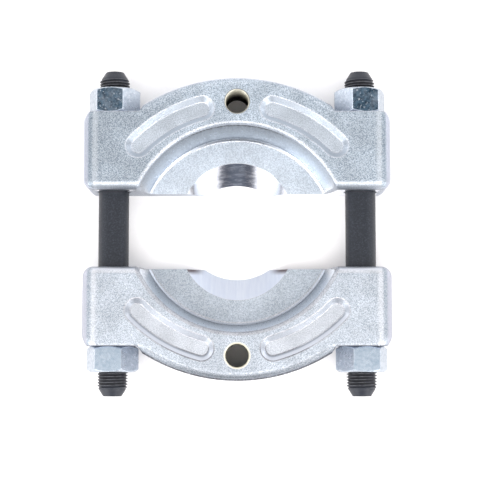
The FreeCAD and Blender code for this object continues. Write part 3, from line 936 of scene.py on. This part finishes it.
@dataclass
class Jaw:
    """One forged jaw: its dish, slanted knife edge bore, shallow pockets and tapped puller hole."""

    end: End
    frame: dict
    finishes: dict[Surface, bpy.types.Material]
    thread_finish: bpy.types.Material
    mating: float = 20 * MM
    seat: float = SEAT_Y
    plate: float = 8 * MM
    height: float = 30 * MM
    dish_drop: float = 22.3 * MM  # how far the dish's centre lies in front of the mating face
    dish_radii: Span = (51 * MM, 57.2 * MM)  # between these lies the dish's wall
    bore_radius: float = 30 * MM
    bore_drops: Span = (24.7 * MM, 13.3 * MM)  # as dish_drop, for the bore at the back and at the plate
    stud_hole: float = 8.5 * MM
    puller_y: float = PULLER_Y
    puller_root: float = 7.0 * MM
    puller_crest: float = 6.05 * MM
    puller_pitch: float = 2 * MM
    puller_sink: float = 0.5 * MM
    puller_bottom: float = 0.4 * MM
    thread_steps: int = 48
    spare_turns: int = 4
    cone: Span = (52 * MM, 56.5 * MM)  # the wall's radius at the plate and at the front
    pocket_drop: float = 27 * MM  # as dish_drop, for the pockets' arcs
    pocket_radius: float = 71.7 * MM
    pocket_width: float = 13 * MM
    hard_angle: float = 30.0
    rim: float = 1.7 * MM
    edge: float = 0.35 * MM
    pocket_edge: float = 0.45 * MM
    knife: float = 0.15 * MM
    root: float = 0.45 * MM
    hole_edge: float = 0.02 * MM
    touch: float = 0.1 * MM  # a point this near to a face counts as on it
    bore_slack: float = 1.2 * MM
    cone_slack: float = 0.15 * MM
    pocket_slack: float = 0.2 * MM
    pocket_depths: Span = (0.05 * MM, 3.2 * MM)
    edge_depth: float = 3.5 * MM
    rim_depth: float = 5 * MM

    def surface_of(self, centre: Vector, normal: Vector) -> Surface:
        """Tell how the face at a point of the jaw was made.

        Args:
            centre: the face's middle.
            normal: the face's outward direction.

        Returns:
            The kind of surface.
        """
        y = centre.y * self.end.value
        facing = normal.y * self.end.value
        out = Vector((centre.x, y - (self.mating - self.dish_drop)))
        low, high = self.dish_radii
        on_dish = centre.z > self.plate + 0.3 * MM and low < out.length < high
        if on_dish and facing * out.y + normal.x * out.x < -0.2 * out.length:
            return Surface.DISHED
        rise = (self.bore_drops[0] - self.bore_drops[1]) * centre.z / self.plate
        bore = Vector((centre.x, y - (self.mating - self.bore_drops[0] + rise)))
        on_bore = abs(bore.length - self.bore_radius) < self.bore_slack and abs(normal.z) < 0.95
        if on_bore and centre.z < self.plate + self.touch:
            return Surface.MACHINED
        if normal.z > 0.5 and self.in_pocket(centre):
            return Surface.SUNK
        if normal.z > 0.4 and centre.z < self.height - 2 * MM:
            return Surface.COINED
        if facing > 0.98 and abs(y - self.seat) < self.touch:
            return Surface.MACHINED
        if math.hypot(abs(centre.x) - STUD_X, centre.z - STUD_Z) < self.stud_hole + self.touch:
            return Surface.MACHINED
        return Surface.FORGED

    def in_pocket(self, point: Vector) -> bool:
        """Tell whether a point lies in one of the two curved pockets beside the puller hole.

        Args:
            point: the point.

        Returns:
            Whether it does.
        """
        out = math.hypot(point.x, point.y * self.end.value - (self.mating - self.pocket_drop))
        near = abs(out - self.pocket_radius) < self.pocket_width / 2 + self.pocket_slack
        shallow, deep = self.pocket_depths
        return near and shallow < self.height - point.z < deep

    def rounding(self, first: Vector, second: Vector) -> float:
        """Tell how far the edge between two corners of the jaw is rounded.

        Args:
            first: one corner.
            second: the other corner.

        Returns:
            The width in metres.
        """
        low, high = self.cone
        on_cone = True
        for corner in (first, second):
            rise = (corner.z - self.plate) / (self.height - self.plate)
            out = math.hypot(corner.x, corner.y * self.end.value - (self.mating - self.dish_drop))
            on_cone = on_cone and abs(out - (low + (high - low) * rise)) < self.cone_slack
        middle = (first + second) / 2
        lowest = min(first.z, second.z)
        if math.hypot(middle.x, middle.y - self.end.value * self.puller_y) < self.puller_root + self.touch:
            return self.hole_edge
        if on_cone and lowest > self.plate + 3 * MM:
            return self.rim if lowest > self.height - self.rim_depth else 0.5 * self.rim
        if max(first.z, second.z) < self.plate + 0.5 * MM:
            drop = middle.y * self.end.value - (self.mating - self.dish_drop)
            return self.root if math.hypot(middle.x, drop) > self.cone[0] - 2 * MM else self.knife
        if lowest > self.height - self.edge_depth:
            return self.pocket_edge
        return self.edge

    def build_body(self) -> bpy.types.Object:
        """Refine the jaw's own solid: join its facets, ease its edges and part its surfaces by finish.

        Returns:
            The forging.
        """
        node = f"{self.end.word}_jaw"
        mesh = self.frame["nodes"][node].data.copy()
        shell = bmesh.new()
        shell.from_mesh(mesh)
        bmesh.ops.remove_doubles(shell, verts=shell.verts, dist=WELD)
        bmesh.ops.dissolve_limit(shell, angle_limit=math.radians(0.3), verts=shell.verts, edges=shell.edges)
        centre = Vector((0, self.end.value * self.puller_y))
        for corner in shell.verts:
            out = corner.co.xy - centre
            if 0 < out.length < self.puller_root - 0.02 * MM:
                corner.co.xy = centre + out * (self.puller_root / out.length)
        shell.normal_update()
        weight = shell.edges.layers.float.new("bevel_weight_edge")
        for edge in shell.edges:
            if edge.is_manifold and edge.calc_face_angle() > math.radians(self.hard_angle):
                edge[weight] = self.rounding(*(corner.co for corner in edge.verts)) / self.rim
        mesh.materials.clear()
        for kind in Surface:
            mesh.materials.append(self.finishes[kind])
        for face in shell.faces:
            face.material_index = self.surface_of(face.calc_center_median(), face.normal).value
        shell.to_mesh(mesh)
        shell.free()
        piece = new_piece(f"{self.end.word}_jaw_forging", mesh, node)
        softened(piece, self.rim, None, 3, Surface.EASED.value)
        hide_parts(node)
        return piece

    def build_thread(self) -> bpy.types.Object:
        """Grow the puller hole's thread: a closed sleeve, wound inside and countersunk at both ends.

        Returns:
            The sleeve.
        """
        turns = math.ceil(self.height / self.puller_pitch) + self.spare_turns
        shape = GrownShape(f"{self.end.word}_puller_thread", {
            "Steps": ("Int", self.thread_steps), "Turns": ("Int", turns),
            "Pitch": ("Float", self.puller_pitch), "Crest Radius": ("Float", self.puller_crest),
            "Root Radius": ("Float", self.puller_root - 0.08 * MM),
            "Lip Radius": ("Float", self.puller_crest + self.puller_sink),
            "Wall Radius": ("Float", self.puller_root + 0.01 * MM), "Bottom": ("Float", self.puller_bottom),
            "Top": ("Float", self.height - 0.02 * MM), "Sink": ("Float", self.puller_sink),
            "Centre Y": ("Float", self.end.value * self.puller_y), "Finish": ("Material", self.thread_finish),
        })
        g, s = shape.graph, shape.sizes
        inner = g.times(s["Turns"], 4)
        grid, share, row = shape.grid(s["Steps"], g.plus(inner, 3))
        wound = g.math("MAXIMUM", g.minus(row, 1), 0)
        _, inside, thread = shape.wind(wound, share, s["Bottom"], s["Top"])
        to_top = g.minus(inside, g.minus(s["Top"], s["Sink"]))
        to_bottom = g.minus(g.plus(s["Bottom"], s["Sink"]), inside)
        sink = g.plus(s["Crest Radius"], g.math("MAXIMUM", to_top, to_bottom))
        within = g.math("MINIMUM", thread, s["Lip Radius"])
        bored = g.math("MINIMUM", g.math("MAXIMUM", within, sink), s["Lip Radius"])
        is_outer = g.plus(g.math("LESS_THAN", row, 0.5), g.math("GREATER_THAN", row, g.plus(inner, 0.5)))
        is_top = g.math("COMPARE", row, g.plus(inner, 1), 0.5)
        radius = shape.pick(is_outer, s["Wall Radius"], bored)
        outer_z = shape.pick(is_top, s["Top"], s["Bottom"])
        z = shape.pick(is_outer, outer_z, inside)
        x, off_y = shape.roll(radius, g.times(share, 2 * math.pi))
        shape.close(grid, x, g.plus(s["Centre Y"], off_y), z)
        node = f"{self.end.word}_jaw"
        piece = new_piece(f"{self.end.word}_puller_thread", turned_outward(shape.mesh()), node)
        softened(piece, 0, 35)
        return piece

    def build(self) -> list[bpy.types.Object]:
        """Build both pieces of the jaw and return them."""
        return [self.build_body(), self.build_thread()]


@dataclass
class Stud:
    """One black stud: a plain shank between two fine right hand threads with coned tips."""

    side: Side
    finish: bpy.types.Material
    length: float = STUD_LENGTH
    shank: float = 72 * MM
    shank_radius: float = 7.98 * MM
    pitch: float = 1.5 * MM
    run_out: float = 1.4  # turns over which the thread fades into the shank
    steps: int = 48
    spare_turns: int = 6
    tip_radius: float = 4.8 * MM
    tip_length: float = 5 * MM

    def build(self) -> list[bpy.types.Object]:
        """Grow the stud as one closed skin, wound as a thread towards both ends.

        Returns:
            The stud, as the one piece of a list.
        """
        run = (self.length - self.shank) / 2
        shape = GrownShape(f"{self.side.word}_stud_thread", {
            "Steps": ("Int", self.steps),
            "Run Rows": ("Int", 4 * (math.ceil(run / self.pitch) + self.spare_turns)),
            "Pitch": ("Float", self.pitch), "Half Length": ("Float", self.length / 2),
            "Half Shank": ("Float", self.shank / 2), "Shank Radius": ("Float", self.shank_radius),
            "Crest Radius": ("Float", STUD_CREST), "Root Radius": ("Float", STUD_ROOT),
            "Tip Radius": ("Float", self.tip_radius), "Tip Length": ("Float", self.tip_length),
            "Centre X": ("Float", self.side.value * STUD_X), "Centre Y": ("Float", STUD_MIDDLE),
            "Centre Z": ("Float", STUD_Z), "Finish": ("Material", self.finish),
        })
        g, s = shape.graph, shape.sizes
        grid, share, row = shape.grid(s["Steps"], g.times(s["Run Rows"], 2))
        is_far = g.math("GREATER_THAN", row, g.minus(s["Run Rows"], 0.5))
        own = g.minus(row, g.times(is_far, s["Run Rows"]))
        near_end = g.times(s["Half Length"], -1)
        near_shank = g.times(s["Half Shank"], -1)
        low = shape.pick(is_far, s["Half Shank"], near_end)
        high = shape.pick(is_far, s["Half Length"], near_shank)
        free, held, thread = shape.wind(own, share, low, high)
        past_shank = g.minus(g.math("ABSOLUTE", held), s["Half Shank"])
        depth = g.ramp(past_shank, 0.0, g.times(s["Pitch"], self.run_out))
        cut = g.plus(s["Shank Radius"], g.times(depth, g.minus(thread, s["Shank Radius"])))
        to_end = g.minus(s["Half Length"], g.math("ABSOLUTE", held))
        widening = g.math("DIVIDE", g.minus(s["Crest Radius"], s["Tip Radius"]), s["Tip Length"])
        cone = g.plus(s["Tip Radius"], g.times(to_end, widening))
        skin = g.math("MINIMUM", cut, cone)
        is_open = g.math("LESS_THAN", g.math("ABSOLUTE", free), g.plus(s["Half Length"], s["Pitch"]))
        radius = g.times(skin, is_open)
        off_x, off_z = shape.roll(radius, g.times(share, 2 * math.pi))
        x, z = g.plus(s["Centre X"], off_x), g.minus(s["Centre Z"], off_z)
        shape.close(grid, x, g.plus(held, s["Centre Y"]), z)
        node = f"{self.side.word}_stud"
        piece = new_piece(f"{node}_threaded", turned_outward(shape.mesh()), node)
        softened(piece, 0, 40)
        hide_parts(node)
        return [piece]


@dataclass
class Nut:
    """One hexagon nut, chamfered to arcs on both faces and countersunk at its thread."""

    end: End
    side: Side
    turn: float
    finish: bpy.types.Material
    edge_finish: bpy.types.Material
    flats: float = 24 * MM
    height: float = 13.5 * MM
    bearing: float = 22.8 * MM
    crown_slope: float = 30.0
    bore: float = 7.95 * MM
    sink: float = 0.8 * MM
    edge: float = 0.38 * MM
    steps: int = 96

    def build(self) -> list[bpy.types.Object]:
        """Grow the nut by turning its profile while the outer radius follows the flats.

        Returns:
            The nut, as the one piece of a list.
        """
        node = f"{self.end.word}_{self.side.word}_nut"
        shape = GrownShape(f"{node}_hexagon", {
            "Steps": ("Int", self.steps), "Half Flats": ("Float", self.flats / 2),
            "Height": ("Float", self.height), "Bearing Radius": ("Float", self.bearing / 2),
            "Crown Rise": ("Float", math.tan(math.radians(self.crown_slope))),
            "Bore Radius": ("Float", self.bore), "Sink": ("Float", self.sink),
            "Turn": ("Float", math.radians(self.turn)),
            "Seat Y": ("Float", self.end.value * SEAT_Y), "Outwards": ("Float", float(self.end.value)),
            "Centre X": ("Float", self.side.value * STUD_X), "Centre Z": ("Float", STUD_Z),
            "Finish": ("Material", self.finish),
        })
        g, s = shape.graph, shape.sizes
        grid, share, row = shape.grid(s["Steps"], 9)
        angle = g.times(share, 2 * math.pi)
        in_flat = g.math("FLOORED_MODULO", g.plus(angle, SEAM), math.pi / 3)
        from_flat = g.minus(in_flat, math.pi / 6 + SEAM)
        hexagon = g.math("DIVIDE", s["Half Flats"], g.math("COSINE", from_flat))
        drop = g.times(g.minus(hexagon, s["Bearing Radius"]), s["Crown Rise"])
        mouth = g.plus(s["Bore Radius"], s["Sink"])
        ring = s["Bearing Radius"]
        bore = s["Bore Radius"]
        below = g.minus(s["Height"], drop)
        inner_top = g.minus(s["Height"], s["Sink"])
        radius = shape.choose(row, bore, mouth, ring, hexagon, hexagon, ring, mouth, bore, bore)
        sink, top = s["Sink"], s["Height"]
        rise = shape.choose(row, sink, 0.0, 0.0, drop, below, top, top, inner_top, sink)
        off_x, off_z = shape.roll(radius, g.plus(angle, s["Turn"]))
        y = g.plus(s["Seat Y"], g.times(rise, s["Outwards"]))
        shape.close(grid, g.plus(s["Centre X"], off_x), y, g.plus(s["Centre Z"], off_z))
        mesh = turned_outward(shape.mesh())
        mesh.materials.append(self.edge_finish)
        piece = new_piece(f"{node}_plated", mesh, node)
        softened(piece, self.edge, 24, 2, 1)
        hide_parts(node)
        return [piece]


@dataclass
class Studio:
    """The pale floor, the soft lights and the camera at the photograph's viewing angle."""

    floor_size: float = 8.0
    floor_drop: float = 0.02 * MM
    aimed_at: Point = (0.0, 0.0, 15 * MM)
    camera_place: Point = (1.5 * MM, -73.4 * MM, 730 * MM)
    camera_lean: float = 0.0951
    camera_lens: float = 102.3
    ceiling: Colour = (1.95, 1.86, 1.82)
    ceiling_dimmed: Colour = (0.64, 0.70, 0.775)
    dim_strip: Band = (-0.10, 0.20, 0.34, 0.60)  # along the sky's Y, from the lower jaw's end
    wall_near: Colour = (1.00, 1.01, 1.07)
    wall_far: Colour = (1.10, 1.12, 1.20)
    wall_top: Span = (0.15, 0.65)
    flag_middle: Colour = (0.170, 0.190, 0.230)
    flag_side: Colour = (0.020, 0.026, 0.050)
    flag_reach: Span = (0.28, 0.44)  # radians to either side of the lower jaw's end
    flag_strip: Band = (0.16, 0.26, 0.60, 0.68)  # heights in the sky
    lamps: list[tuple[str, Point, float, float, Colour]] = field(default_factory=lambda: [
        ("foot", (0.0, -0.95, 1.55), 1.0, 6.0, (1.0, 0.99, 1.0)),
        ("near_left", (-1.00, -0.95, 0.60), 0.55, 6.5, (1.0, 1.0, 1.0)),
        ("near_right", (1.00, -0.95, 0.58), 0.55, 6.0, (1.0, 1.0, 1.0)),
        ("far_left", (-1.30, 0.50, 0.40), 0.6, 2.4, (0.98, 0.98, 1.0)),
        ("far_right", (1.30, 0.50, 0.40), 0.6, 2.4, (0.98, 0.98, 1.0)),
    ])

    def build_floor(self) -> None:
        """Lay the floor under the separator, as a thin sheet."""
        half = self.floor_size / 2
        sheet = bmesh.new()
        outline = ((-half, -half), (half, -half), (half, half), (-half, half))
        sheet.faces.new([sheet.verts.new((x, y, -self.floor_drop)) for x, y in outline])
        mesh = bpy.data.meshes.new("floor")
        sheet.to_mesh(mesh)
        sheet.free()
        mesh.materials.append(StudioPaper().material())
        floor = bpy.data.objects.new("floor", mesh)
        bpy.context.scene.collection.objects.link(floor)

    def build_lamps(self) -> None:
        """Hang the soft lamps, each aimed at the middle of the separator."""
        for name, place, size, power, colour in self.lamps:
            light = bpy.data.lights.new(name, "AREA")
            light.shape = "DISK"
            light.size = size
            light.energy = power
            light.color = colour
            lamp = bpy.data.objects.new(name, light)
            lamp.location = place
            aim = Vector(self.aimed_at) - Vector(place)
            lamp.rotation_euler = aim.to_track_quat("-Z", "Y").to_euler()
            bpy.context.scene.collection.objects.link(lamp)

    def build_sky(self) -> None:
        """Surround the scene with soft walls, a partly dimmed ceiling and one dark flag at the lower end."""
        world = bpy.data.worlds.new("sky")
        world.use_nodes = True
        world.node_tree.nodes.clear()
        g = Graph(world.node_tree)
        direction = g.add("ShaderNodeTexCoord").outputs["Generated"]
        split = g.add("ShaderNodeSeparateXYZ", {0: direction})
        x, y, height = split.outputs[0], split.outputs[1], split.outputs[2]
        dim = g.strip(y, self.dim_strip)
        ceiling = g.mix(dim, self.ceiling, self.ceiling_dimmed)
        wall = g.mix(g.ramp(y, 0.0, 0.7), self.wall_near, self.wall_far)
        tone = g.mix(g.ramp(height, *self.wall_top), wall, ceiling)
        azimuth = g.math("ARCTAN2", g.math("ABSOLUTE", x), g.times(y, -1))
        beyond = g.ramp(azimuth, *self.flag_reach, 1.0, 0.0)
        flag = g.times(beyond, g.strip(height, self.flag_strip))
        cloth = g.mix(g.ramp(azimuth, 0.06, 0.24), self.flag_middle, self.flag_side)
        flagged = g.mix(flag, tone, cloth)
        back = g.add("ShaderNodeBackground", {"Color": flagged, "Strength": 1.0}).outputs[0]
        g.add("ShaderNodeOutputWorld", {"Surface": back})
        bpy.context.scene.world = world
        bpy.context.scene.view_settings.view_transform = "Standard"

    def build_camera(self) -> None:
        """Set the camera high above the separator, tilted a little towards the upper jaw."""
        camera = bpy.data.objects.new("camera", bpy.data.cameras.new("camera"))
        camera.data.lens = self.camera_lens
        camera.data.sensor_width = 36
        camera.data.clip_end = 50
        camera.location = self.camera_place
        camera.rotation_euler = (self.camera_lean, 0, 0)
        bpy.context.scene.collection.objects.link(camera)
        bpy.context.scene.camera = camera

    def build(self) -> None:
        """Build the whole studio."""
        self.build_floor()
        self.build_lamps()
        self.build_sky()
        self.build_camera()


@dataclass
class Separator:
    """The whole bearing separator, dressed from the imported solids."""

    frame: dict
    turns: dict[tuple[End, Side], float] = field(default_factory=lambda: {
        (End.UPPER, Side.LEFT): 8.0,
        (End.UPPER, Side.RIGHT): -11.0,
        (End.LOWER, Side.LEFT): 7.0,
        (End.LOWER, Side.RIGHT): -9.0,
    })

    def build(self) -> list[bpy.types.Object]:
        """Build every jaw, stud and nut.

        Returns:
            The finished pieces.
        """
        machined = SmoothPlating(
            "machined_zinc", (0.84, 0.87, 0.94), (0.93, 0.95, 0.99), 0.18, 1.4 * MM, (1.0, 0.1, 0.1),
            # painted reflection streaks in the upper bore, painted shade over the lower bore and in its
            # corners
            depth=0.002 * MM, spread=0.01, streaks=0.6,
            lower_tone=(0.70, 0.73, 0.77), lower_rougher=0.30, lower_corners=0.9,
        )
        dished = SmoothPlating(
            "dish_wall_zinc", (0.395, 0.425, 0.465), (0.47, 0.51, 0.56), 0.32, 0.9 * MM, (1.0, 1.0, 0.3),
            # painted light and shade up the wall and by place, and a ragged dark line under the upper rim
            fade=0.36, tones=(1.42, 0.66, 1.15, 2.0), nicks=0.9,
        )
        coined = ForgedPlating(
            "coined_zinc", (0.335, 0.38, 0.43), (0.515, 0.57, 0.625), grain=0.55 * MM, relief=0.10 * MM,
            # painted light and shade: the lower plate darker, the upper one lighter
            clouds=(0.93, 1.06), tones=(0.88, 1.25, 1.28, 1.20), tint=(1.0, 1.0, 1.0), calm=0.0,
        )
        sunk = SunkPlating(
            # the darker side colour is the painted shade line at the pocket walls' foot
            "sunk_zinc", (0.34, 0.38, 0.425), (0.51, 0.56, 0.61), side=(0.33, 0.375, 0.43), grain=0.55 * MM,
            relief=0.10 * MM, clouds=(0.90, 1.06), tones=(1.02, 1.02, 1.02, 1.02), calm=0.2,
        )
        eased = ForgedPlating(
            "eased_edge_zinc", (0.24, 0.27, 0.31), (0.55, 0.59, 0.64), (0.66, 0.70, 0.74), (0.36, 0.39, 0.44),
            # painted shade: the lower jaw's rounded edges darker
            range=(0.36, 0.54), tones=(0.84, 1.0, 1.0, 1.0),
        )
        finishes = {
            Surface.FORGED: ForgedPlating().material(),
            Surface.COINED: coined.material(),
            Surface.SUNK: sunk.material(),
            Surface.EASED: eased.material(),
            Surface.MACHINED: machined.material(),
            Surface.DISHED: dished.material(),
        }
        tapped = TappedWall().material()
        blacking = StudBlacking().material()
        bright = (0.58, 0.63, 0.69)
        dull = (0.40, 0.455, 0.52)
        # painted reflection on the nuts' front flats: darker on the upper nuts, lighter on the lower ones
        painted_darker = NutPlating(
            "nut_zinc_dulled", bright, dull, (0.008, 0.022, 0.038), (0.085, 0.145, 0.200), 0.98, 0.6,
        )
        painted_lighter = NutPlating("nut_zinc_bright", bright, dull, (0.25, 0.32, 0.39), (0.33, 0.40, 0.47), 0.85)
        nuts = {End.UPPER: painted_darker.material(), End.LOWER: painted_lighter.material()}
        parts: list[Jaw | Stud | Nut] = [Jaw(end, self.frame, finishes, tapped) for end in End]
        parts += [Stud(side, blacking) for side in Side]
        # painted highlight: brighter plating on the nuts' rounded edges
        edge = NutPlating("nut_edge_zinc", (0.86, 0.89, 0.93), (0.66, 0.71, 0.77), dull, bright, 0.0)
        nut_edge_highlight = edge.material()
        parts += [Nut(end, side, turn, nuts[end], nut_edge_highlight) for (end, side), turn in self.turns.items()]
        pieces = []
        for part in parts:
            for piece in part.build():
                LOG.info("%s: %d faces", piece.name, len(piece.data.polygons))
                pieces.append(piece)
        return pieces


def main() -> None:
    """Load the frame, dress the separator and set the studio."""
    logging.basicConfig(level=logging.INFO, format="%(name)s: %(message)s")
    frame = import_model()
    pieces = Separator(frame).build()
    Studio().build()
    LOG.info("%d pieces built", len(pieces))


if __name__ == "__main__":
    main()
